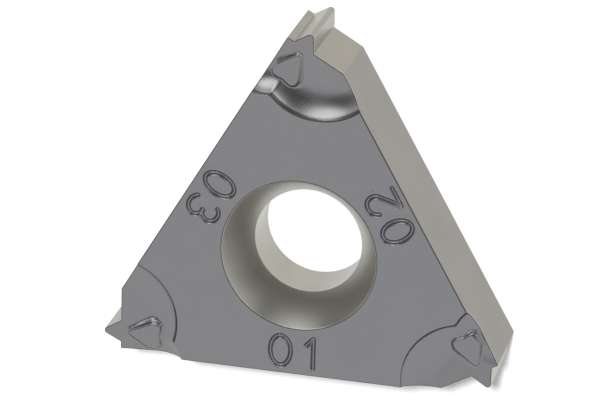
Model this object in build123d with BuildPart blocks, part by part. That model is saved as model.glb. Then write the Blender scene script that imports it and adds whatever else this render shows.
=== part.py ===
from build123d import *
import math
import os

os.makedirs("parts", exist_ok=True)

# A laydown threading insert for outside right-hand threads of 1 mm pitch.
# It is one pressed, sintered and ground piece of cemented carbide: a triangle with one
# 60 degree thread tooth at each corner, a chip pocket behind each tooth, and a hole for
# the clamp screw whose mouth flares to take the screw's cone.
# Frame: the hole's axis is Z, the seat that lies in the holder is at Z = 0, the face
# with the chip pockets looks up, and the side along the bottom edge is parallel to X.

# Body
inscribed_circle = 9.525      # the largest circle inside the triangle, 3/8 inch
thickness = 3.52
edge_round = 0.04             # hone along the rims of the ground sides

# Thread tooth, in the corner's own frame: a runs from the sharp corner along the side
# that leads to the tooth, and b runs from that side into the body.
pitch = 1.0
thread_angle = 60
thread_height = 0.6134 * pitch
nose_radius = 0.1443 * pitch
root_radius = 0.06
tooth_offset = 0.71           # from the leading side to the middle of the tooth
facet_offset = 1.40           # from the sharp corner to the flat that the tooth stands on
shoulder_round = 0.05         # at the flat's end beside the tooth
heel_round = 0.08             # at the flat's far end

# Screw hole
bore_radius = 2.035
mouth_radius = 2.915
mouth_depth = 1.52
mouth_curve = 8.0             # radius of the flare's rounded wall

# Chip pocket: two round bowls that share one sloping floor, the rake face
rake_angle = 8.5              # the floor falls this much along a
rake_roll = 1.1               # and this much along b
rake_depth = 0.32             # below the face, where the flat meets the leading side
main_bowl = (0.83, 1.35)      # the bowl's centre, as a and b
main_flat = 1.43              # radius of the bowl's level middle
main_bank = 1.70              # radius of the concave bank round it
side_bowl = (2.22, -0.32)
side_flat = 0.50
side_bank = 1.20
bank_sweep = 72               # how far round its arc each bank runs, well above the face

# Chip breaker: an arrow-shaped island that points at the tooth
island_depth = 0.28           # its flat top, below the face
island_wall = 44              # lean of its walls
island_round = 0.1            # along the edge of its top
island_height = 0.45          # from the top to below the deepest part of the rake face
island_corners = [            # a, b and rounding of each corner of its top
    ((1.64, 0.74), 0.10),
    ((2.50, 0.22), 0.12),
    ((2.93, 0.22), 0.15),
    ((2.86, 0.68), 0.30),
    ((2.94, 1.16), 0.16),
    ((2.62, 1.16), 0.14),
]

# The triangle, worked out from its inscribed circle
inscribed_radius = inscribed_circle / 2
side_length = 2 * math.sqrt(3) * inscribed_radius
third = 120                   # the insert repeats each third of a turn


def at_corner(a, b, z=0):
    """A point of the lower left corner's frame, in the insert's own frame."""
    return Vector(a - side_length / 2, b - inscribed_radius, z)


# The ground outline: five points at each corner, going round from the heel of the flat
# past the tooth to the shoulder
half_angle = math.radians(thread_angle / 2)
sharp_height = thread_height + nose_radius / math.sin(half_angle) - nose_radius
tooth_half_base = sharp_height * math.tan(half_angle)
corner_points = [
    (at_corner(facet_offset, facet_offset * math.sqrt(3)), heel_round),
    (at_corner(facet_offset, tooth_offset + tooth_half_base), root_radius),
    (at_corner(facet_offset - sharp_height, tooth_offset), nose_radius),
    (at_corner(facet_offset, tooth_offset - tooth_half_base), root_radius),
    (at_corner(facet_offset, 0), shoulder_round),
]
outline_points = []
outline_rounds = []
for turn in range(3):
    for point, radius in corner_points:
        outline_points.append(point.rotate(Axis.Z, turn * third))
        outline_rounds.append(radius)

# The rake face: a plane that falls away from the tooth
rake_normal = Vector(math.tan(math.radians(rake_angle)), math.tan(math.radians(rake_roll)), 1)
rake_plane = Plane(origin=at_corner(facet_offset, 0, thickness - rake_depth), z_dir=rake_normal)


def bowl_section(centre):
    """The plane of a bowl's half section: its Y axis is the bowl's own axis."""
    foot = at_corner(*centre)
    above = Axis(foot, (0, 0, 1))
    bottom = rake_plane.intersect(above)
    across = rake_plane.x_dir
    return Plane(origin=bottom, x_dir=across, z_dir=across.cross(rake_plane.z_dir))


with BuildSketch(Plane.XY.offset(thickness - island_depth)) as island_top:
    with BuildLine():
        FilletPolyline(
            *[at_corner(*corner) for corner, rounding in island_corners],
            radius=[rounding for corner, rounding in island_corners],
            close=True,
        )
    make_face()

with BuildPart() as pocket:
    for centre, flat, bank in (
        (main_bowl, main_flat, main_bank),
        (side_bowl, side_flat, side_bank),
    ):
        section = bowl_section(centre)
        with BuildSketch(section):
            with BuildLine():
                floor = Line((0, 0), (flat, 0))
                rise = JernArc(start=floor @ 1, tangent=floor % 1, radius=bank, arc_size=bank_sweep)
                lid = Line(rise @ 1, (0, (rise @ 1).Y))
                Line(lid @ 1, (0, 0))
            make_face()
        revolve(axis=Axis(section.origin, rake_plane.z_dir))

    # The island stays standing in the pocket, so its shape is taken out of the cutter
    extrude(island_top.sketch, amount=-island_height, taper=-island_wall, mode=Mode.SUBTRACT)
    fillet(pocket.faces().filter_by(Axis.Z).edges(), island_round)


with BuildPart() as insert:
    # Ground sides, teeth and flats
    with BuildSketch():
        with BuildLine():
            FilletPolyline(*outline_points, radius=outline_rounds, close=True)
        make_face()
    extrude(amount=thickness)
    fillet(insert.faces().filter_by(Axis.Z).edges(), edge_round)

    # Screw hole with its flared mouth
    with BuildSketch(Plane.XZ):
        with BuildLine():
            wall = Line((bore_radius, 0), (bore_radius, thickness - mouth_depth))
            flare = RadiusArc(wall @ 1, (mouth_radius, thickness), mouth_curve)
            top = Line(flare @ 1, (0, thickness))
            shaft = Line(top @ 1, (0, 0))
            Line(shaft @ 1, wall @ 0)
        make_face()
    revolve(axis=Axis.Z, mode=Mode.SUBTRACT)

    # A chip pocket behind each tooth
    with PolarLocations(0, 3):
        add(pocket.part, mode=Mode.SUBTRACT)

insert.part.label = "insert"
export_step(insert.part, "parts/insert.step")
print("side length", round(side_length, 3), "volume", round(insert.part.volume, 1))
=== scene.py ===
# %% [markdown]
# # A threading insert, from packed model to portrait
# A threading insert is a small tooth plate of cemented carbide that is clamped in a lathe
# tool. Powder is pressed in a die and sintered, the sides and teeth are ground, and the
# whole piece is coated. The packed model holds its true form. This lesson gives it a mesh
# that bears a close look, the finish of each surface, a floor, soft light and a camera.

# %% Load the packed model
import math

import bpy
import numpy as np
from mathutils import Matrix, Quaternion, Vector
from mathutils.geometry import delaunay_2d_cdt


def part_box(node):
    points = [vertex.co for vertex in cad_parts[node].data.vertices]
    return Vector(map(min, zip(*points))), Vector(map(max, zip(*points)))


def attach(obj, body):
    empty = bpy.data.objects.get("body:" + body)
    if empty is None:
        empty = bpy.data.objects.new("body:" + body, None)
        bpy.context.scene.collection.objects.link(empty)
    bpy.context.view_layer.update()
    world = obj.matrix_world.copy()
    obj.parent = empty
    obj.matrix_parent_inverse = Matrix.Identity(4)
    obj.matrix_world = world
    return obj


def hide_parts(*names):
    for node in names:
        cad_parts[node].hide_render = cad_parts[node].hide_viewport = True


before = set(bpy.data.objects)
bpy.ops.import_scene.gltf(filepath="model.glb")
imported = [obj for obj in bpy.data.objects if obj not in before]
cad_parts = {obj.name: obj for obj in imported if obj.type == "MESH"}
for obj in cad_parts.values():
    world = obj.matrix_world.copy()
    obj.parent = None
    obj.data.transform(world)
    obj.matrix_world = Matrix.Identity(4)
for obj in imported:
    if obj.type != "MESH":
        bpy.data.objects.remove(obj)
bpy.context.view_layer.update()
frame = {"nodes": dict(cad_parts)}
millimetre = 0.001
print("packed nodes:", ", ".join(frame["nodes"]))

# %% [markdown]
# ## Why a new mesh
# The packed solid is cut into flat facets, which is right for weighing and for collision,
# but polished metal shows each facet. The insert is simple to describe with numbers, so
# its mesh is made again from the same dimensions: the upper side is a height over each
# point of the plan, and the sides and the hole are rows of points round a closed line.
# All sizes are in millimetres until the very end. The thickness comes from the frame.

# %% The main sizes
insert_low, insert_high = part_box("insert")
thickness = (insert_high.z - insert_low.z) / millimetre
inscribed_circle = 9.525
inscribed_radius = inscribed_circle / 2
side_length = 2 * math.sqrt(3) * inscribed_radius
edge_round = 0.04
print("thickness", round(thickness, 3), "mm and side", round(side_length, 3), "mm")

# %% [markdown]
# ## Three equal corners
# The insert repeats each third of a turn, so the teeth and chip pockets are described once,
# in the frame of one corner: a runs from the sharp corner along the side that leads to the
# tooth, and b runs from that side into the body. Two functions go from one frame to the
# other, and a third repeats points at all the corners. The corner at low x and low y is
# number 0, and the others follow anticlockwise.

# %% From a corner's frame to the insert's, and back
corner_count = 3
turns = range(corner_count)
third = 2 * math.pi / corner_count


def turned(x, y, angle):
    """The points turned round the hole's axis."""
    return x * math.cos(angle) - y * math.sin(angle), x * math.sin(angle) + y * math.cos(angle)


def from_corner(points, turn):
    """Points given as a and b, in the insert's frame."""
    a, b = np.array(points, float).T
    return np.column_stack(turned(a - side_length / 2, b - inscribed_radius, turn * third))


def at_each_corner(points):
    """Points given as a and b, at all three corners of the insert's frame."""
    return np.vstack([from_corner(points, turn) for turn in turns])


def to_corner(x, y, turn):
    """The insert's x and y as a and b of one corner."""
    x, y = turned(x, y, -turn * third)
    return x + side_length / 2, y + inscribed_radius


sharp_corners = at_each_corner([(0, 0)])
print("the sharp corners lie at", sharp_corners.round(2).tolist())

# %% [markdown]
# ## The ground outline
# A grinding wheel gives each corner a flat, and on it a 60 degree tooth with a rounded nose.
# Both the outline and the island in the chip pocket are polygons with rounded corners, so
# one function makes them: it puts an arc into each corner, cuts the straight stretches into
# short steps, and keeps the direction that looks outward at each point.

# %% A polygon with rounded corners
arc_step = math.radians(6)


def corner_arc(before, corner, after, radius):
    """The arc that rounds one corner of a polygon: its points and their outward directions."""
    back = (before - corner) / np.linalg.norm(before - corner)
    ahead = (after - corner) / np.linalg.norm(after - corner)
    half = math.acos(back @ ahead) / 2
    centre = corner + (back + ahead) / np.linalg.norm(back + ahead) * radius / math.sin(half)
    start = corner + back * radius / math.tan(half) - centre
    side = math.copysign(1, ahead[0] * back[1] - ahead[1] * back[0])
    sweep = side * (math.pi - 2 * half)
    first = math.atan2(start[1], start[0])
    angles = np.linspace(first, first + sweep, math.ceil(abs(sweep) / arc_step) + 1)
    rays = np.column_stack((np.cos(angles), np.sin(angles)))
    return centre + rays * radius, rays * side


def rounded_outline(corners, rounds, step):
    """Points along a rounded polygon that runs anticlockwise, and their outward directions."""
    corners = np.array(corners, float)
    neighbours = zip(np.roll(corners, 1, 0), corners, np.roll(corners, -1, 0), rounds)
    arcs = [corner_arc(*neighbour) for neighbour in neighbours]
    points, outward = [], []
    for (arc, rays), (next_arc, _) in zip(arcs, arcs[1:] + arcs[:1]):
        run = next_arc[0] - arc[-1]
        length = np.linalg.norm(run)
        pieces = max(1, round(length / step))
        shares = np.arange(1, pieces)[:, None] / pieces
        points += [arc, arc[-1] + run * shares]
        outward += [rays, np.tile([run[1] / length, -run[0] / length], (pieces - 1, 1))]
    return np.vstack(points), np.vstack(outward)


sample_square, _ = rounded_outline([(0, 0), (1, 0), (1, 1), (0, 1)], [0.25] * 4, 0.1)
print("a unit square with rounded corners gets", len(sample_square), "points")

# %% The outline of the insert
pitch = 1.0
half_thread_angle = math.radians(30)
thread_height = 0.6134 * pitch
nose_radius = 0.1443 * pitch
sharp_height = thread_height + nose_radius / math.sin(half_thread_angle) - nose_radius
half_base = sharp_height * math.tan(half_thread_angle)
tooth_offset = 0.71
flat_offset = 1.40
heel_round = 0.08
root_round = 0.06
shoulder_round = 0.05
corner_points = [
    (flat_offset, flat_offset * math.sqrt(3)),
    (flat_offset, tooth_offset + half_base),
    (flat_offset - sharp_height, tooth_offset),
    (flat_offset, tooth_offset - half_base),
    (flat_offset, 0),
]
corner_rounds = [heel_round, root_round, nose_radius, root_round, shoulder_round]
outline_step = 0.06
outline, outward = rounded_outline(
    at_each_corner(corner_points), corner_rounds * corner_count, outline_step)
inset = outline - outward * edge_round
print("the outline has", len(outline), "points")

# %% [markdown]
# ## Two tools for shapes in plan
# The island and the numbers need to know how far a point is from a line, and the mesh needs
# to know which points lie inside an outline. Both go along the line piece by piece and treat
# all the points at once, which is quick in numpy.

# %% Distance from a line, and inside or outside
def distance_to_line(x, y, line):
    """How far each point is from a chain of straight pieces."""
    nearest = np.full(np.shape(x), np.inf)
    for (x0, y0), (x1, y1) in zip(line, line[1:]):
        run_x, run_y = x1 - x0, y1 - y0
        share = np.clip(((x - x0) * run_x + (y - y0) * run_y) / (run_x ** 2 + run_y ** 2), 0, 1)
        squared = (x - x0 - share * run_x) ** 2 + (y - y0 - share * run_y) ** 2
        nearest = np.minimum(nearest, squared)
    return np.sqrt(nearest)


def inside(x, y, closed_line):
    """Which points lie inside a closed line, by counting how often a ray crosses it."""
    crossed = np.zeros(np.shape(x), bool)
    for (x0, y0), (x1, y1) in zip(closed_line, np.roll(closed_line, -1, 0)):
        if y0 != y1:
            crossed ^= ((y0 > y) != (y1 > y)) & (x < x0 + (y - y0) * (x1 - x0) / (y1 - y0))
    return crossed


print("the sides pass the hole's axis at", round(float(distance_to_line(0.0, 0.0, outline)), 3), "mm")

# %% [markdown]
# ## The chip pocket
# The die presses two round bowls into each corner. They share one sloping floor, the rake
# face that the chip runs over, and their concave banks curl the chip. Each bowl stands
# square to the sloping floor, so its height over a point of the plan is found in a few
# steps: guess a height, see how far from the bowl's axis that point is, and correct it. The
# banks would grow vertical, so near there they go on as a steep straight wall instead. It
# lies far above the face, where nothing of it is left. A small round softens the ridge
# between the two bowls.

# %% The two bowls
rake_depth = 0.32
rake_fall = math.tan(math.radians(8.5))
rake_roll = math.tan(math.radians(1.1))
bowls = [
    {"centre": (0.83, 1.35), "flat": 1.43, "bank": 1.70},
    {"centre": (2.22, -0.32), "flat": 0.50, "bank": 1.20},
]
steepest_part = 0.95
wall_slope_above = 3
corrections = 10
ridge_round = 0.09


def rake_height(a, b):
    """Height of the sloping floor."""
    return thickness - rake_depth - (a - flat_offset) * rake_fall - b * rake_roll


def bowl_height(a, b, centre, flat, bank):
    """Height of a bowl with a flat middle and a concave bank, square to the floor."""
    floor = rake_height(a, b)
    upright = 1 / math.sqrt(1 + rake_fall ** 2 + rake_roll ** 2)
    height = floor
    for _ in range(corrections):
        lift = (height - floor) * upright
        above_centre = height - rake_height(*centre)
        reach = (a - centre[0]) ** 2 + (b - centre[1]) ** 2 + above_centre ** 2
        beyond = np.sqrt(np.maximum(reach - lift ** 2, 0)) - flat
        on_bank = np.clip(beyond, 0, steepest_part * bank)
        rise = bank - np.sqrt(bank ** 2 - on_bank ** 2)
        rise = rise + wall_slope_above * np.maximum(beyond - on_bank, 0)
        height = floor + rise / upright
    return height


def smooth_low(first, second, width):
    """The lower of two heights, with a small round where they meet."""
    share = np.clip(0.5 + (second - first) / (2 * width), 0, 1)
    return second * (1 - share) + first * share - width * share * (1 - share)


def pocket_height(a, b):
    """Height of the empty pocket, without its island."""
    main, side = (bowl_height(a, b, **bowl) for bowl in bowls)
    return smooth_low(main, side, ridge_round)


print("the pocket is", round(float(thickness - pocket_height(2.9, 0.0)), 2), "mm deep at its side")

# %% [markdown]
# ## The island
# An arrow-shaped island stands in the pocket and points at the tooth. It lifts and breaks
# the chip. Its height depends only on how far a point is from the edge of its top: flat
# inside, then a small round, then a straight leaning wall. Two things differ from place to
# place, as on the pressed original: the walls are steep all round except the one that faces
# the body, and a gentle facet takes off the corner that lies farthest back at the leading
# side. Where a wall meets the pocket the higher of the two wins, with a hollow round at the
# foot.

# %% The island's height
island_depth = 0.28
island_round = 0.1
round_slope = math.radians(46)
foot_round = 0.10
steep_walls = 1.6
eased_by = 0.55
easing_width = 0.12
body_side = (-0.39, 0.92)
facet_side = (0.5, -0.866)
facet_start = 1.07
facet_slope = 0.16
facet_blend = 0.04
island_corners = [
    (1.64, 0.74), (2.50, 0.22), (2.93, 0.22), (2.86, 0.68), (2.94, 1.16), (2.62, 1.16)]
island_rounds = [0.10, 0.12, 0.15, 0.30, 0.16, 0.14]
island_step = 0.05
island_outline, island_outward = rounded_outline(island_corners, island_rounds, island_step)
island_tip = island_corners[0]


def island_height(a, b):
    """Height of the island's top and walls."""
    away = distance_to_line(a, b, np.vstack((island_outline, island_outline[:1])))
    away = np.where(inside(a, b, island_outline), -away, away)
    from_round = away + island_round * math.tan(round_slope / 2)
    on_round = np.clip(from_round, 0, island_round * math.sin(round_slope))
    on_wall = np.maximum(from_round - on_round, 0)
    past_tip = (a - island_tip[0]) * body_side[0] + (b - island_tip[1]) * body_side[1]
    eased = np.clip(past_tip / easing_width, 0, 1)
    steepness = math.tan(round_slope) * (steep_walls - eased_by * eased)
    drop = island_round - np.sqrt(island_round ** 2 - on_round ** 2) + on_wall * steepness
    past_facet = a * facet_side[0] + b * facet_side[1] - facet_start
    facet = facet_slope * (past_facet + np.sqrt(past_facet ** 2 + facet_blend ** 2))
    return thickness - island_depth - drop - facet


def chip_former_height(a, b):
    """Height of the pocket with its island."""
    return -smooth_low(-pocket_height(a, b), -island_height(a, b), foot_round)


wall_leans = (steep_walls, steep_walls - eased_by)
wall_angles = [round(math.degrees(math.atan(math.tan(round_slope) * lean))) for lean in wall_leans]
print("the island's walls stand at", wall_angles[0], "degrees, the one to the body at", wall_angles[1])

# %% [markdown]
# ## Corner numbers
# Each corner has a plain number beside it, so that the user knows which edge is in use. The
# die presses it in as a narrow round groove along the strokes. The strokes are a few lines
# and arcs in a box that is one digit wide, set out along each side of the insert.

# %% Strokes of the digits
digit_width = 0.78
digit_height = 1.2
arc_points = 25


def arc(centre_x, centre_y, radius_x, radius_y, first, last):
    """Points on an arc of an ellipse, in shares of the digit's width and height."""
    angles = np.radians(np.linspace(first, last, arc_points))
    return np.column_stack((
        (centre_x + radius_x * np.cos(angles)) * digit_width,
        (centre_y + radius_y * np.sin(angles)) * digit_height,
    ))


def straight(*points):
    """A chain of straight strokes through points given in shares of the digit's box."""
    return np.array(points) * (digit_width, digit_height)


digits = {
    "0": [arc(0.5, 0.5, 0.5, 0.5, 0, 360)],
    "1": [straight((0.22, 0.76), (0.56, 1.0), (0.56, 0.0))],
    "2": [np.vstack((arc(0.5, 0.7, 0.46, 0.3, 170, -35), straight((0.04, 0.0), (0.96, 0.0))))],
    "3": [arc(0.47, 0.74, 0.42, 0.26, 150, -80), arc(0.47, 0.26, 0.5, 0.26, 80, -150)],
}
print("digits drawn:", ", ".join(digits))

# %% The numbers beside the three sides
numbers = ("01", "02", "03")
digit_gap = 0.42
number_distance = 3.86


def number_strokes(text, turn):
    """Strokes of a number that stands on one side and points at the hole."""
    step = digit_width + digit_gap
    start = -(len(text) * step - digit_gap) / 2
    for place, digit in enumerate(text):
        for stroke in digits[digit]:
            x = stroke[:, 0] + start + place * step
            y = stroke[:, 1] - number_distance - digit_height / 2
            yield np.column_stack(turned(x, y, turn * third))


strokes = [stroke for turn, text in enumerate(numbers) for stroke in number_strokes(text, turn)]
print("the numbers have", len(strokes), "strokes")

# %% How deep the numbers are pressed
groove_half_width = 0.12
groove_depth = 0.11
burr_height = 0.004
burr_distance = 0.165
burr_width = 0.035


def number_groove(x, y):
    """How deep the numbers are cut at each point. A low burr stands on both sides of a groove."""
    away = np.min([distance_to_line(x, y, stroke) for stroke in strokes], axis=0)
    groove = groove_depth * (1 - np.clip(away / groove_half_width, 0, 1) ** 2) ** 2
    return groove - burr_height * np.exp(-((away - burr_distance) / burr_width) ** 2)


first_point = strokes[0][:1]
print("a groove is", round(float(number_groove(*first_point.T)[0]), 3), "mm deep along its middle")

# %% [markdown]
# ## Points that follow the strokes
# A groove keeps a clean edge only where the mesh has rows of points along it. Each stroke
# gets a row along its middle and several on each side, from the groove's foot to beyond the
# burr. Rings round the ends of an open stroke close the rows.

# %% Rows along the strokes
groove_rows = (0, 0.03, -0.03, 0.06, -0.06, 0.09, -0.09, 0.125, -0.125, 0.165, -0.165, 0.20, -0.20)
stroke_step = 0.035
ring_step = 0.4
open_gap = 0.1


def evenly(stroke, step):
    """The same stroke with points at even steps along it, and the direction to its left."""
    lengths = np.hypot(*np.diff(stroke, axis=0).T)
    travelled = np.concatenate(([0], np.cumsum(lengths)))
    places = np.linspace(0, travelled[-1], max(2, math.ceil(travelled[-1] / step) + 1))
    points = np.column_stack([np.interp(places, travelled, stroke[:, axis]) for axis in (0, 1)])
    runs = np.gradient(points, axis=0)
    runs /= np.linalg.norm(runs, axis=1)[:, None]
    return points, np.column_stack((-runs[:, 1], runs[:, 0]))


def ring_round(point, radius):
    """A ring of points round one end of a stroke."""
    angles = np.arange(0, 2 * math.pi, ring_step)
    return point + radius * np.column_stack((np.cos(angles), np.sin(angles)))


open_strokes = [stroke for stroke in strokes if np.linalg.norm(stroke[0] - stroke[-1]) > open_gap]
stroke_ends = [end for stroke in open_strokes for end in (stroke[0], stroke[-1])]
stroke_rows = []
for row in groove_rows:
    for stroke in strokes:
        points, left = evenly(stroke, stroke_step)
        stroke_rows.append(points + left * row)
    if row != 0:
        stroke_rows += [ring_round(end, abs(row)) for end in stroke_ends]
stroke_rows = np.vstack(stroke_rows)
print("the numbers have", len(stroke_rows), "points along their strokes")

# %% [markdown]
# ## One height for the whole upper side
# The upper side is the pressed face, lowered by the numbers, and cut by the three pockets
# with a small round along their rims. Just under the rim the wall of a pocket is a little
# steeper than its bowl, which darkens the thin line along a pressed rim; a dark painted
# shade on the lip, further down, darkens that line more. The direction of the surface comes
# from the same function, by looking a few microns to each side, so the light falls on it as
# on the true surface.

# %% Height and direction of the upper side
rim_round = 0.02
rim_drop = 0.10
rim_reach = 0.05
rim_fade = 0.2
near_pocket = 4.4
look_aside = 0.004


def steepened(depth):
    """The depth of a pocket with a steep lip just under its rim."""
    below = np.maximum(depth, 0)
    lip = rim_drop * (1 - np.exp(-below / rim_reach)) * np.exp(-below / rim_fade)
    return np.where(depth > 0, depth + lip, depth * (1 + rim_drop / rim_reach))


def upper_height(x, y):
    """Height of the upper side over the plan."""
    height = thickness - number_groove(x, y)
    for turn in turns:
        a, b = to_corner(x, y, turn)
        near = a < near_pocket
        depth = steepened(thickness - chip_former_height(a[near], b[near]))
        pocket = smooth_low(np.full(near.sum(), thickness), thickness - depth, rim_round)
        height[near] = np.minimum(height[near], pocket)
    return height


def upper_direction(x, y):
    """The direction that the upper side looks, at each point."""
    rise_x = upper_height(x + look_aside, y) - upper_height(x - look_aside, y)
    rise_y = upper_height(x, y + look_aside) - upper_height(x, y - look_aside)
    slope_x, slope_y = rise_x / (2 * look_aside), rise_y / (2 * look_aside)
    direction = np.column_stack((-slope_x, -slope_y, np.ones(len(x))))
    return direction / np.linalg.norm(direction, axis=1)[:, None]


on_top_x, on_top_y = from_corner([np.mean(island_corners, axis=0)], 0).T
top_depth = thickness - upper_height(on_top_x, on_top_y)[0]
print("the island's top lies", round(float(top_depth), 2), "mm below the face")

# %% [markdown]
# ## Where the mesh needs points
# A plain face needs few points, while the rim of a pocket, the island's edge and the
# grooves need many, in rows that follow them. The rows come first, and then three fields of
# points, fine, middle and coarse, fill the rest. A point that is too near to one that is
# already there is left out. The rim is found along rays from a point inside the pocket, by
# halving the stretch of each ray in which the pocket comes up to the face.

# %% Rows along the pocket's rim and the island's edge
rim_rows = (-0.16, -0.12, -0.08, -0.05, -0.025, 0.0, 0.015, 0.04)
island_rows = (-0.07, -0.04, -0.02, 0.0, 0.02, 0.06, 0.10, 0.15, 0.20, 0.26)
rim_centre = (1.2, 1.4)
rim_angles = np.radians(np.arange(-62, 175, 0.9))
nearest_rim = 0.9
farthest_rim = 5.0
halvings = 24


def rim_along(angles):
    """How far the pocket's rim is from the rim's centre, along rays in the corner's frame."""
    low, high = np.full(len(angles), nearest_rim), np.full(len(angles), farthest_rim)
    for _ in range(halvings):
        middle = (low + high) / 2
        a = rim_centre[0] + middle * np.cos(angles)
        b = rim_centre[1] + middle * np.sin(angles)
        below = pocket_height(a, b) < thickness
        low, high = np.where(below, middle, low), np.where(below, high, middle)
    return low


rim_distances = rim_along(rim_angles)
rim_outward = np.column_stack((np.cos(rim_angles), np.sin(rim_angles)))
rim = rim_centre + rim_outward * rim_distances[:, None]
corner_rows = np.vstack(
    [rim + rim_outward * row for row in rim_rows]
    + [island_outline + island_outward * row for row in island_rows]
)
rows = at_each_corner(corner_rows)
print("rows along rims and islands:", len(rows), "points")

# %% Fields of points
pocket_spacing = 0.055
number_spacing = 0.035
face_spacing = 0.28
unmarked = 0.0004


def field(low, high, spacing):
    """Points in a pattern of equal triangles over a rectangle."""
    row_gap = spacing * math.sqrt(3) / 2
    points = []
    for number, y in enumerate(np.arange(low[1], high[1], row_gap)):
        xs = np.arange(low[0] + spacing / 2 * (number % 2), high[0], spacing)
        points.append(np.column_stack((xs, np.full(len(xs), y))))
    return np.vstack(points)


pocket_field = at_each_corner(field((0.7, -0.05), (4.0, 4.0), pocket_spacing))
pocket_floor = np.min([pocket_height(*to_corner(*pocket_field.T, turn)) for turn in turns], axis=0)
pocket_field = pocket_field[pocket_floor < thickness]

one_number_field = field((-1.3, -4.65), (1.3, -3.05), number_spacing)
number_field = np.vstack(
    [np.column_stack(turned(*one_number_field.T, turn * third)) for turn in turns])
number_field = number_field[np.abs(number_groove(*number_field.T)) > unmarked]

face_low = (-side_length / 2, -inscribed_radius)
face_high = (side_length / 2, 2 * inscribed_radius)
face_field = field(face_low, face_high, face_spacing)
print("fields of", len(pocket_field), "and", len(number_field), "and", len(face_field), "points")

# %% [markdown]
# ## From points to triangles
# A constrained triangulation joins the points and keeps the outline and the hole's mouth as
# edges. It leaves out what lies outside the outline. A triangle over the hole is known by
# its corners, which all lie on the hole's ring, and is left out too.

# %% Choose the points
mouth_radius = 2.915
hole_steps = 240
around = np.arange(hole_steps) * 2 * math.pi / hole_steps
circle = np.column_stack((np.cos(around), np.sin(around)))
mouth_ring = circle * (mouth_radius + edge_round)


def thinned(kept, new, gap):
    """The kept points, and those of the new ones that keep their distance from all before them."""
    chosen = [tuple(p) for p in kept]
    cells = {}
    for x, y in chosen:
        cells.setdefault((x // gap, y // gap), []).append((x, y))
    around_it = [(i, j) for i in (-1, 0, 1) for j in (-1, 0, 1)]
    for x, y in new:
        column, line = x // gap, y // gap
        close = [p for i, j in around_it for p in cells.get((column + i, line + j), ())]
        if all((x - near_x) ** 2 + (y - near_y) ** 2 > gap ** 2 for near_x, near_y in close):
            cells.setdefault((column, line), []).append((x, y))
            chosen.append((x, y))
    return np.array(chosen)


def within_face(points, margin):
    """Those of the points that lie inside the outline and outside the hole."""
    x, y = points.T
    shrunk = outline - outward * (edge_round + margin)
    return points[inside(x, y, shrunk) & (np.hypot(x, y) > mouth_radius + edge_round + margin)]


points_and_gaps = (
    (rows, 0.012), (stroke_rows, 0.02), (number_field, 0.03), (pocket_field, 0.035), (face_field, 0.12))
plan = np.vstack((inset, mouth_ring))
for points, gap in points_and_gaps:
    plan = thinned(plan, within_face(points, gap), gap)
print("the upper side has", len(plan), "points")

# %% Join points that lie in closed rings
INSIDE_ONLY = 1
same_place = 1e-7


def triangles_of(points, ring_sizes):
    """Triangles between points whose first ones form two closed rings: the outline, then the hole."""
    edges, start = [], 0
    for size in ring_sizes:
        edges += [(start + i, start + (i + 1) % size) for i in range(size)]
        start += size
    found = delaunay_2d_cdt([tuple(p) for p in points], edges, [], INSIDE_ONLY, same_place)
    found_points, found_triangles, sources = found[0], found[2], found[3]
    if len(found_points) != len(points):
        raise ValueError("two points of the plan fall together")
    originals = np.array([source[0] for source in sources])
    corners = originals[np.array(found_triangles)]
    on_hole = (corners >= ring_sizes[0]) & (corners < sum(ring_sizes))
    return corners[~on_hole.all(axis=1)]


upper_triangles = triangles_of(plan, (len(inset), hole_steps))
print("the upper side has", len(upper_triangles), "triangles")

# %% [markdown]
# ## Rows of points become a closed skin
# The skin is built up in one place that keeps every point, the direction it looks and the
# faces between points, each with the number of its finish. Two rows with equally many
# points are joined by a band of four-sided faces.

# %% A place to collect the skin
finishes = [
    "pressed face", "shaded pocket lip", "island wall", "ground side", "ground tooth", "shaded honed edge",
    "highlit cutting edge", "hole mouth", "screw hole", "ground seat",
]
# The lip, island wall and honed edge finishes are painted shade, and the cutting edge finish is a
# painted highlight.
FACE, LIP_SHADE, WALL_SHADE, SIDE, TOOTH, EDGE_SHADE, CUTTING_HIGHLIGHT, MOUTH, HOLE, SEAT = range(len(finishes))


class Skin:
    """Points with directions, and faces with finishes."""

    def __init__(self):
        self.points, self.directions, self.faces, self.finish = [], [], [], []

    def row(self, points, directions):
        """Adds points and returns their numbers."""
        first = len(self.points)
        self.points += [tuple(p) for p in points]
        self.directions += [tuple(d) for d in directions]
        return np.arange(first, first + len(points))

    def band(self, upper, lower, finish):
        """Joins two closed rows. The upper one is on the left of somebody who looks along them."""
        quads = np.column_stack((upper, lower, np.roll(lower, -1), np.roll(upper, -1)))
        self.faces += quads.tolist()
        self.finish += np.broadcast_to(finish, len(quads)).tolist()

    def patch(self, triangles, finish):
        """Adds triangles between points that are there already."""
        self.faces += np.array(triangles).tolist()
        self.finish += [finish] * len(triangles)


skin = Skin()
print("the skin takes", len(finishes), "finishes")

# %% The points of the upper side
upper_points = np.column_stack((plan, upper_height(*plan.T)))
upper = skin.row(upper_points, upper_direction(*plan.T))
print("the lowest point of the upper side is", round(float(upper_points[:, 2].min()), 2), "mm up")

# %% [markdown]
# ## Three finishes on one side
# The upper side gets three finishes: the plain face and floors, a slightly darker painted
# shade on the walls of the islands, and a dark painted shade on a lip just inside each
# pocket's rim. Each triangle gets the finish of the place where its middle lies. The painted
# shade of the lip is widest where the pocket meets the leading side, and it tapers towards
# the far end of the large bowl.

# %% Where the lips and the island walls are
# How far the lip's painted shade reaches in from the rim, and how it tapers along b.
lip_shade_width = 0.11
lip_shade_end_width = 0.2 * lip_shade_width
lip_shade_taper = (1.9, 3.3)
island_middle = (2.4, 0.7)
island_reach = (1.0, 0.8)


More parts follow.
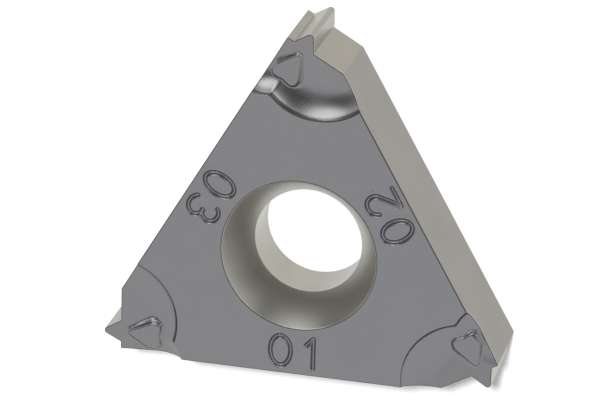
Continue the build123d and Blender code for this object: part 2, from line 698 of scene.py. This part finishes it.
def beyond_rim(x, y):
    """How far each point lies beyond the rim of the nearest pocket, and its b in that corner."""
    beyond = np.full(len(x), np.inf)
    along = np.zeros(len(x))
    for turn in turns:
        a, b = to_corner(x, y, turn)
        away_a, away_b = a - rim_centre[0], b - rim_centre[1]
        limit = np.interp(np.arctan2(away_b, away_a), rim_angles, rim_distances, left=0, right=0)
        past = np.where(limit > 0, np.hypot(away_a, away_b) - limit, np.inf)
        along = np.where(past < beyond, b, along)
        beyond = np.minimum(beyond, past)
    return beyond, along


def on_island_wall(x, y):
    """Which points lie on the walls of an island."""
    on_wall = np.zeros(len(x), bool)
    for turn in turns:
        a, b = to_corner(x, y, turn)
        near_a = np.abs(a - island_middle[0]) < island_reach[0]
        near_b = np.abs(b - island_middle[1]) < island_reach[1]
        near = np.flatnonzero(near_a & near_b)
        a, b = a[near], b[near]
        on_wall[near] |= (island_height(a, b) > pocket_height(a, b)) & ~inside(a, b, island_outline)
    return on_wall


middles = plan[upper_triangles].mean(axis=1)
offset, along = beyond_rim(*middles.T)
on_lip_shade = (offset > -np.interp(along, lip_shade_taper, (lip_shade_width, lip_shade_end_width))) & (offset < 0)
# The island walls take a darker finish, a painted shade.
on_wall = on_island_wall(*middles.T) & ~on_lip_shade
skin.patch(upper[upper_triangles[~on_lip_shade & ~on_wall]], FACE)
skin.patch(upper[upper_triangles[on_wall]], WALL_SHADE)
skin.patch(upper[upper_triangles[on_lip_shade]], LIP_SHADE)
print(int(on_lip_shade.sum()), "triangles lie on the lips and", int(on_wall.sum()), "on the island walls")

# %% [markdown]
# ## Sides, teeth and honed edges
# After grinding, the edges are brushed to a tiny round, which keeps them from chipping and
# catches a thin line of light. Here the round's finish is a dark painted shade, which draws a
# thin dark line along each edge. From the upper side four rows go over this round, one row
# ends the side, and four more go under the lower edge to the seat. Where a pocket runs out
# at a side, the last two of the upper bands are the cutting edge, which gets a bright
# painted highlight instead.

# %% The finish of each place along the outline
round_angles = np.radians([22.5, 45, 67.5, 90])
tooth_margin = 0.002
hone_share = 0.8
beside_tooth = [to_corner(*outline.T, turn)[0] < flat_offset + tooth_margin for turn in turns]
side_finish = np.where(np.any(beside_tooth, axis=0), TOOTH, SIDE)
edge_height = upper_height(*outline.T)
# Where a pocket runs out at a side the upper edge gets a bright painted highlight, and elsewhere a dark
# painted shade.
upper_edge_finish = np.where(edge_height < thickness - edge_round, CUTTING_HIGHLIGHT, EDGE_SHADE)
cutting_count = int((upper_edge_finish == CUTTING_HIGHLIGHT).sum())
print(cutting_count, "of", len(outline), "steps along the outline are highlit cutting edge")


# %% Bands down the sides
def with_height(points, height):
    """Plan points lifted to a height."""
    return np.column_stack((points, np.broadcast_to(height, len(points))))


previous = upper[:len(outline)]
edge_direction = np.array(skin.directions)[previous]
for angle in round_angles:
    share = math.sin(angle)
    points = inset + outward * edge_round * share
    base = upper_points[:len(outline), 2] * (1 - share) + edge_height * share
    directions = edge_direction * math.cos(angle) + with_height(outward, 0) * share
    directions /= np.linalg.norm(directions, axis=1)[:, None]
    current = skin.row(with_height(points, base - edge_round * (1 - math.cos(angle))), directions)
    skin.band(previous, current, EDGE_SHADE if share < hone_share else upper_edge_finish)
    previous = current

current = skin.row(with_height(outline, edge_round), with_height(outward, 0))
skin.band(previous, current, side_finish)
previous = current
# The rounds under the lower edge get the same dark painted shade.
for angle in round_angles:
    points = inset + outward * edge_round * math.cos(angle)
    directions = with_height(outward * math.cos(angle), -math.sin(angle))
    current = skin.row(with_height(points, edge_round * (1 - math.sin(angle))), directions)
    skin.band(previous, current, EDGE_SHADE)
    previous = current
seat_outline = previous
print("the sides have", len(skin.faces) - len(upper_triangles), "four-sided faces")

# %% [markdown]
# ## The screw hole
# The hole is a straight bore under a mouth that flares like a trumpet, so the cone of the
# clamp screw pulls the insert into its seat. It is a profile turned round the axis: each of
# its points is a radius, a height and a direction, and becomes one ring of the skin.

# %% The hole's profile
bore_radius = 2.035
mouth_depth = 1.52
mouth_curve = 8.0
flare_steps = 30
rim_steps = 4
below_flare = 0.05
flare_margin = 0.001


def hole_profile():
    """Radius, height and direction of the hole's wall, from the face down to the seat."""
    low = np.array([bore_radius, thickness - mouth_depth])
    high = np.array([mouth_radius, thickness])
    chord = high - low
    across = np.array([chord[1], -chord[0]]) / np.linalg.norm(chord)
    centre = (low + high) / 2 + across * math.sqrt(mouth_curve ** 2 - (chord @ chord) / 4)
    first, last = (math.atan2(*(p - centre)[::-1]) % (2 * math.pi) for p in (high, low))
    rim_angle = first - math.pi / 2
    bend = edge_round / math.tan(rim_angle / 2)
    for angle in np.linspace(1 / rim_steps, 1, rim_steps) * rim_angle:
        radius = mouth_radius + edge_round - bend * math.sin(angle)
        yield radius, thickness - bend * (1 - math.cos(angle)), -math.sin(angle), math.cos(angle)
    for angle in np.linspace(first, last, flare_steps)[1:]:
        across, up = math.cos(angle), math.sin(angle)
        yield centre[0] + mouth_curve * across, centre[1] + mouth_curve * up, across, up
    yield bore_radius, thickness - mouth_depth - below_flare, -1, 0
    yield bore_radius, edge_round, -1, 0
    for angle in round_angles:
        across, up = -math.cos(angle), -math.sin(angle)
        yield bore_radius + edge_round * (1 + across), edge_round * (1 + up), across, up


profile = list(hole_profile())
print("the hole's profile has", len(profile), "points")

# %% Turn the profile
previous = upper[len(outline):len(outline) + hole_steps]
for radius, height, across, up in profile:
    directions = np.column_stack((circle * across, np.full(hole_steps, up)))
    current = skin.row(with_height(circle * radius, height), directions)
    in_mouth = height > thickness - mouth_depth - flare_margin
    # The round at the mouth's rim gets the dark painted shade of the edges.
    wall_finish = EDGE_SHADE if radius > mouth_radius else MOUTH if in_mouth else HOLE
    skin.band(previous[::-1], current[::-1], wall_finish)
    previous = current
seat_ring = previous
print("the skin now has", len(skin.points), "points")

# %% The seat underneath
seat_numbers = np.concatenate((seat_outline, seat_ring))
seat_plan = np.array(skin.points)[seat_numbers, :2]
seat_triangles = triangles_of(seat_plan, (len(outline), hole_steps))
skin.patch(seat_numbers[seat_triangles][:, ::-1], SEAT)
print("the seat has", len(seat_triangles), "triangles")


# %% Make the mesh
def mesh_from(skin, name):
    """A Blender mesh of the collected skin, in metres."""
    mesh = bpy.data.meshes.new(name)
    mesh.from_pydata([Vector(p) * millimetre for p in skin.points], [], skin.faces)
    mesh.polygons.foreach_set("material_index", skin.finish)
    mesh.polygons.foreach_set("use_smooth", [True] * len(skin.faces))
    mesh.normals_split_custom_set_from_vertices(skin.directions)
    return mesh


insert_mesh = mesh_from(skin, "coated_insert")
insert = bpy.data.objects.new("coated_insert", insert_mesh)
bpy.context.collection.objects.link(insert)
triangle_count = sum(len(face) - 2 for face in skin.faces)
print("the mesh has", triangle_count, "triangles")

# %% [markdown]
# ## Shader maths as Python
# A finish is a small sum of noise, masks and colours. Built by hand that takes many Math
# nodes, so one class wraps a node's output and lets Python's own signs stand for them:
# 1 - mask makes a Subtract node. Every other node comes from one method, which sets the
# node up first and then fills or links its sockets.


# %% A signal is a socket that can be calculated with
class Signal:
    """One output of a shader node."""

    def __init__(self, tree, socket):
        self.tree, self.socket = tree, socket

    @classmethod
    def node(cls, tree, kind, settings=None, sockets=None, output=0):
        """Adds a node: its settings first, then the values or links of its sockets."""
        made = tree.nodes.new("ShaderNode" + kind)
        for name, value in (settings or {}).items():
            setattr(made, name, value)
        for name, value in (sockets or {}).items():
            if isinstance(value, cls):
                tree.links.new(value.socket, made.inputs[name])
            else:
                made.inputs[name].default_value = value
        return cls(tree, made.outputs[output])

    def math(self, operation, first, second):
        """A Math node between two signals or numbers."""
        return self.node(self.tree, "Math", {"operation": operation}, {0: first, 1: second})

    def __add__(self, other):
        return self.math("ADD", self, other)

    def __sub__(self, other):
        return self.math("SUBTRACT", self, other)

    def __rsub__(self, other):
        return self.math("SUBTRACT", other, self)

    def __mul__(self, other):
        return self.math("MULTIPLY", self, other)

    def larger(self, other):
        """The larger of two signals."""
        return self.math("MAXIMUM", self, other)

    __radd__ = __add__
    __rmul__ = __mul__


signal_words = [name for name in vars(Signal) if name[0] != "_"]
print("a signal knows", ", ".join(signal_words), "and the signs + - *")


# %% Two more helpers for shaders
def blended(share, first, second):
    """A colour between two colours."""
    sockets = {0: share, 6: first, 7: second}
    return Signal.node(share.tree, "Mix", {"data_type": "RGBA"}, sockets, output=2)


def spread(signal, low, high):
    """0 at the low value of a signal and 1 at its high value, with soft ends."""
    sockets = {"From Min": low, "From Max": high, "Value": signal}
    return Signal.node(signal.tree, "MapRange", {"interpolation_type": "SMOOTHSTEP"}, sockets)


print("two helpers:", blended.__name__, "for colours and", spread.__name__, "for signals")

# %% [markdown]
# ## One recipe for every metal finish
# All surfaces of the insert are the same thin hard coating over carbide, so they share one
# recipe: a metal whose tone drifts a little, whose gloss varies with it, and whose fine
# relief is a stretched noise. What tells them apart is the tone, the gloss and the way the
# relief is stretched. Coordinates are in millimetres and belong to the object, so the
# pattern stays on the piece in every view.

# %% The recipe
cloud_look = {"Scale": 0.45, "Detail": 3.0, "Roughness": 0.6}
cloud_range = (0.3, 0.7)
gloss_from_clouds = 0.04
gloss_from_grain = 0.08


def coated_metal(name, tone, warm_tone, roughness, stretch, relief):
    """A coated metal. Stretch is how many grains there are to a millimetre along each axis."""
    material = bpy.data.materials.new(name)
    material.use_nodes = True
    tree = material.node_tree
    shader = tree.nodes["Principled BSDF"]
    shader.inputs["Metallic"].default_value = 1.0
    place = Signal.node(tree, "TexCoord", output="Object")
    place = Signal.node(tree, "VectorMath", {"operation": "SCALE"}, {0: place, "Scale": 1 / millimetre})
    clouds = Signal.node(tree, "TexNoise", {}, {"Vector": place, **cloud_look})
    grained = Signal.node(tree, "VectorMath", {"operation": "MULTIPLY"}, {0: place, 1: stretch})
    grain = Signal.node(tree, "TexNoise", {}, {"Vector": grained, "Scale": 1.0, "Detail": 2.0})
    drift = spread(clouds, *cloud_range)
    colour = blended(drift, (*tone, 1), (*warm_tone, 1))
    gloss = roughness + (drift - 0.5) * gloss_from_clouds + (grain - 0.5) * gloss_from_grain
    sockets = {"Height": grain, "Distance": relief * millimetre, "Strength": 1.0}
    bump = Signal.node(tree, "Bump", {}, sockets)
    for socket, signal in (("Base Color", colour), ("Roughness", gloss), ("Normal", bump)):
        tree.links.new(signal.socket, shader.inputs[socket])
    return material


print("the tone drifts over about", round(1 / cloud_look["Scale"], 1), "mm")

# %% [markdown]
# ## The ten finishes
# The pressed face is a cool grey with a fine even grain. The lips and the island walls are
# darker, a painted shade. The ground sides are warmer, and their grain is drawn out into the
# marks of the grinding wheel: round the piece on the sides, up and down on the teeth, and
# along the seat. The honed edges are painted dark, a painted shade of thin dark lines, the
# cutting edges carry a bright painted highlight, and the hole is pale. Each recipe gives a
# tone, a second tone that it drifts to, the roughness, the stretch of the grain and the
# height of its relief in millimetres.

# %% The finishes, made and given to the mesh
recipes = {
    "pressed face": ((0.232, 0.234, 0.250), (0.240, 0.238, 0.246), 0.26, (11, 11, 11), 0.0006),
    # pocket lip: a dark painted shade just inside the rim
    "shaded pocket lip": ((0.096, 0.096, 0.100), (0.106, 0.105, 0.108), 0.30, (11, 11, 11), 0.0004),
    # island wall: a slightly darker painted shade
    "island wall": ((0.190, 0.190, 0.200), (0.198, 0.196, 0.202), 0.26, (0.6, 0.6, 0.6), 0.0006),
    "ground side": ((0.262, 0.246, 0.216), (0.250, 0.238, 0.214), 0.26, (0.8, 0.8, 36), 0.0006),
    "ground tooth": ((0.340, 0.318, 0.264), (0.324, 0.305, 0.260), 0.26, (30, 30, 0.6), 0.0006),
    # honed edge: a dark painted shade that draws thin dark lines
    "shaded honed edge": ((0.085, 0.084, 0.082), (0.095, 0.092, 0.088), 0.30, (9, 9, 9), 0.0004),
    # cutting edge: a bright painted highlight
    "highlit cutting edge": ((0.500, 0.490, 0.465), (0.470, 0.465, 0.450), 0.30, (9, 9, 9), 0.0004),
    "hole mouth": ((0.385, 0.378, 0.345), (0.376, 0.370, 0.343), 0.34, (7, 7, 14), 0.0003),
    "screw hole": ((0.420, 0.406, 0.345), (0.375, 0.368, 0.335), 0.28, (7, 7, 14), 0.0003),
    "ground seat": ((0.345, 0.335, 0.315), (0.335, 0.328, 0.315), 0.30, (1.5, 30, 30), 0.0006),
}
for name in finishes:
    insert_mesh.materials.append(coated_metal(name.replace(" ", "_"), *recipes[name]))
print("finishes:", ", ".join(finishes))

# %% [markdown]
# ## A white tent to mirror
# Bright metal shows its surroundings more than itself, so the surroundings are designed. The
# insert stands in a white tent, painted on the world with soft round patches, each at a
# place in the sky. A dim opening high up gives the hollows their dark bands, two windows
# give them bright ones, and a frame edge and a low gap darken the steepest walls. Only rays
# that leave the metal see the tent. The camera sees plain white behind everything, and so
# would a ray through glass. The rest of the scene gets a low even level of light from it,
# which leaves the lamps to light the paper.

# %% Places in the sky
world = bpy.data.worlds.new("white_tent")
bpy.context.scene.world = world
world.use_nodes = True
world.cycles.sampling_method = "NONE"
tree = world.node_tree


def toward(azimuth, elevation):
    """The direction of a place in the sky. Azimuth runs anticlockwise from +X."""
    azimuth, elevation = math.radians(azimuth), math.radians(elevation)
    level = math.cos(elevation)
    return Vector((level * math.cos(azimuth), level * math.sin(azimuth), math.sin(elevation)))


def sky_patch(azimuth, elevation, inner, outer):
    """1 within the inner angle of a place in the sky, falling to 0 at the outer angle."""
    place = Signal.node(tree, "TexCoord", output="Generated")
    sockets = {0: place, 1: toward(azimuth, elevation)}
    nearness = Signal.node(tree, "VectorMath", {"operation": "DOT_PRODUCT"}, sockets, output="Value")
    return spread(nearness, math.cos(math.radians(outer)), math.cos(math.radians(inner)))


print("straight up is", [round(part, 3) for part in toward(0, 90)])

# %% The patches of the tent
half_dim = 0.75
opening = sky_patch(56, 69, 12, 27)
opening = opening.larger(sky_patch(166, 59, 7, 19))
opening = opening.larger(sky_patch(115, 77, 5, 22) * half_dim)
window = sky_patch(42, 44, 3, 13)
low_window = sky_patch(105, 12, 4, 18)
frame_edge = sky_patch(142, 14, 11, 23)
low_gap = sky_patch(64, 18, 4, 20)
dimming = {"opening": 0.88, "frame edge": 0.85, "low gap": 0.9}
gain = {"window": 2.0, "low window": 0.8}
tent = 1 - opening * dimming["opening"] - frame_edge * dimming["frame edge"]
tent = tent - low_gap * dimming["low gap"]
tent = tent + window * gain["window"] + low_window * gain["low window"]
print("dim parts of the tent:", ", ".join(dimming), "and bright ones:", ", ".join(gain))

# %% What each kind of ray sees
ambient = 0.25


def ray(tree, kind):
    """1 for rays of one kind: Camera, Glossy or Transmission."""
    return Signal.node(tree, "LightPath", output=f"Is {kind} Ray")


camera_ray = ray(tree, "Camera")
glossy_ray = ray(tree, "Glossy")
through_ray = ray(tree, "Transmission")
plain_ray = 1 - camera_ray - glossy_ray - through_ray
strength = camera_ray + through_ray + glossy_ray * tent + plain_ray * ambient
background = tree.nodes["Background"]
background.inputs["Color"].default_value = (1, 1, 1, 1)
tree.links.new(strength.socket, background.inputs["Strength"])
print("the world has", len(tree.nodes), "nodes")

# %% [markdown]
# ## Two lamps
# A softbox is an area lamp: its size sets how wide the bright bands in the hollows are. Its
# power is worked out from the brightness of its cloth, which is what the metal mirrors. The
# overhead lamp is small, so the shadow at the insert's foot is short and clear. It would
# show as a spot in the metal, so it is hidden from rays that leave a glossy surface.

# %% The softbox
lamp_distance = 0.5


def hang(lamp, azimuth, elevation):
    """Hangs a lamp at a place in the sky, turned towards the insert."""
    hung = bpy.data.objects.new(lamp.name, lamp)
    hung.location = toward(azimuth, elevation) * lamp_distance
    hung.rotation_mode = "QUATERNION"
    hung.rotation_quaternion = hung.location.to_track_quat("Z", "Y")
    bpy.context.collection.objects.link(hung)
    return hung


softbox_width = 0.34
softbox_height = 0.23
softbox_brightness = 2.0
softbox = bpy.data.lights.new("softbox", "AREA")
softbox.color = (1.0, 0.98, 0.92)
softbox.shape = "ELLIPSE"
softbox.size = softbox_width
softbox.size_y = softbox_height
softbox.energy = softbox_brightness * math.pi * math.pi * softbox_width * softbox_height / 4
hang(softbox, 117, 47)
print("the softbox gives", round(softbox.energy, 2), "W")

# %% The overhead lamp
overhead = bpy.data.lights.new("overhead", "AREA")
overhead.shape = "DISK"
overhead.size = 0.055
overhead.energy = 2.8
hang(overhead, 80, 64).visible_glossy = False
print("the overhead lamp gives", round(overhead.energy, 2), "W")

# %% [markdown]
# ## The paper
# The insert lies on a sheet of matt white paper. To the camera the sheet partly glows, so
# that it is clean white, and is partly lit, so that it takes the shadow. Seen through the
# hole it glows fully, because the bore would shade it there. The metal mirrors the glow
# alone. A hair's breadth below the seat, the sheet doesn't flicker with it.

# %% The sheet
paper_size = 0.8
paper_drop = 0.00001
paper_corners = [(-1, -1), (1, -1), (1, 1), (-1, 1)]
paper_points = [(x * paper_size / 2, y * paper_size / 2, -paper_drop) for x, y in paper_corners]
paper_mesh = bpy.data.meshes.new("paper")
paper_mesh.from_pydata(paper_points, [], [(0, 1, 2, 3)])
paper = bpy.data.objects.new("paper", paper_mesh)
bpy.context.collection.objects.link(paper)
print("the sheet is", paper_size, "m wide")

# %% The paper's material
glow_share = 0.25
under_bore = 2.1 * millimetre
beside_bore = 2.4 * millimetre
paper_material = bpy.data.materials.new("white_paper")
paper_material.use_nodes = True
paper_material.cycles.emission_sampling = "NONE"
tree = paper_material.node_tree
shader = tree.nodes["Principled BSDF"]
shader.inputs["Base Color"].default_value = (0.9, 0.9, 0.9, 1)
shader.inputs["Roughness"].default_value = 1.0
shader.inputs["Specular IOR Level"].default_value = 0.0
lit = Signal(tree, shader.outputs[0])
glow = Signal.node(tree, "Emission", {}, {"Color": (1, 1, 1, 1), "Strength": 1.0})
place = Signal.node(tree, "TexCoord", output="Object")
from_axis = Signal.node(tree, "VectorMath", {"operation": "LENGTH"}, {0: place}, output="Value")
under_hole = 1 - spread(from_axis, under_bore, beside_bore)
glowing = ray(tree, "Camera") * (glow_share + under_hole * (1 - glow_share)) + ray(tree, "Glossy")
mixed = Signal.node(tree, "MixShader", {}, {0: glowing, 1: lit, 2: glow})
tree.links.new(mixed.socket, tree.nodes["Material Output"].inputs["Surface"])
paper_mesh.materials.append(paper_material)
print("the paper has", len(tree.nodes), "nodes")

# %% [markdown]
# ## The camera
# The camera looks down from the side of one corner with a long lens. It aims at a point
# beside the hole, and its roll sets the insert askew in the picture.

# %% Camera
view_azimuth = math.radians(150.551)
view_elevation = math.radians(64.495)
view_roll = math.radians(146.408)
view_distance = 0.128622
aim = Vector((-0.4127, 1.4867, thickness / 2)) * millimetre
level = math.cos(view_elevation)
back = Vector((
    math.sin(view_azimuth) * level,
    -math.cos(view_azimuth) * level,
    math.sin(view_elevation),
))
camera_data = bpy.data.cameras.new("camera")
camera_data.lens = 209.19
camera_data.sensor_width = 36
camera_data.clip_start = 0.01
camera_data.clip_end = 10
camera = bpy.data.objects.new("camera", camera_data)
camera.location = aim + back * view_distance
camera.rotation_mode = "QUATERNION"
camera.rotation_quaternion = (-back).to_track_quat("-Z", "Y") @ Quaternion((0, 0, 1), -view_roll)
bpy.context.collection.objects.link(camera)
bpy.context.scene.camera = camera
bpy.context.scene.view_settings.view_transform = "Standard"
print("the camera is", round(view_distance * 1000), "mm from the insert")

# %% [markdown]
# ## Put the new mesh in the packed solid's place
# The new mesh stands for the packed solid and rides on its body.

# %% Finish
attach(insert, "root")
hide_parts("insert")
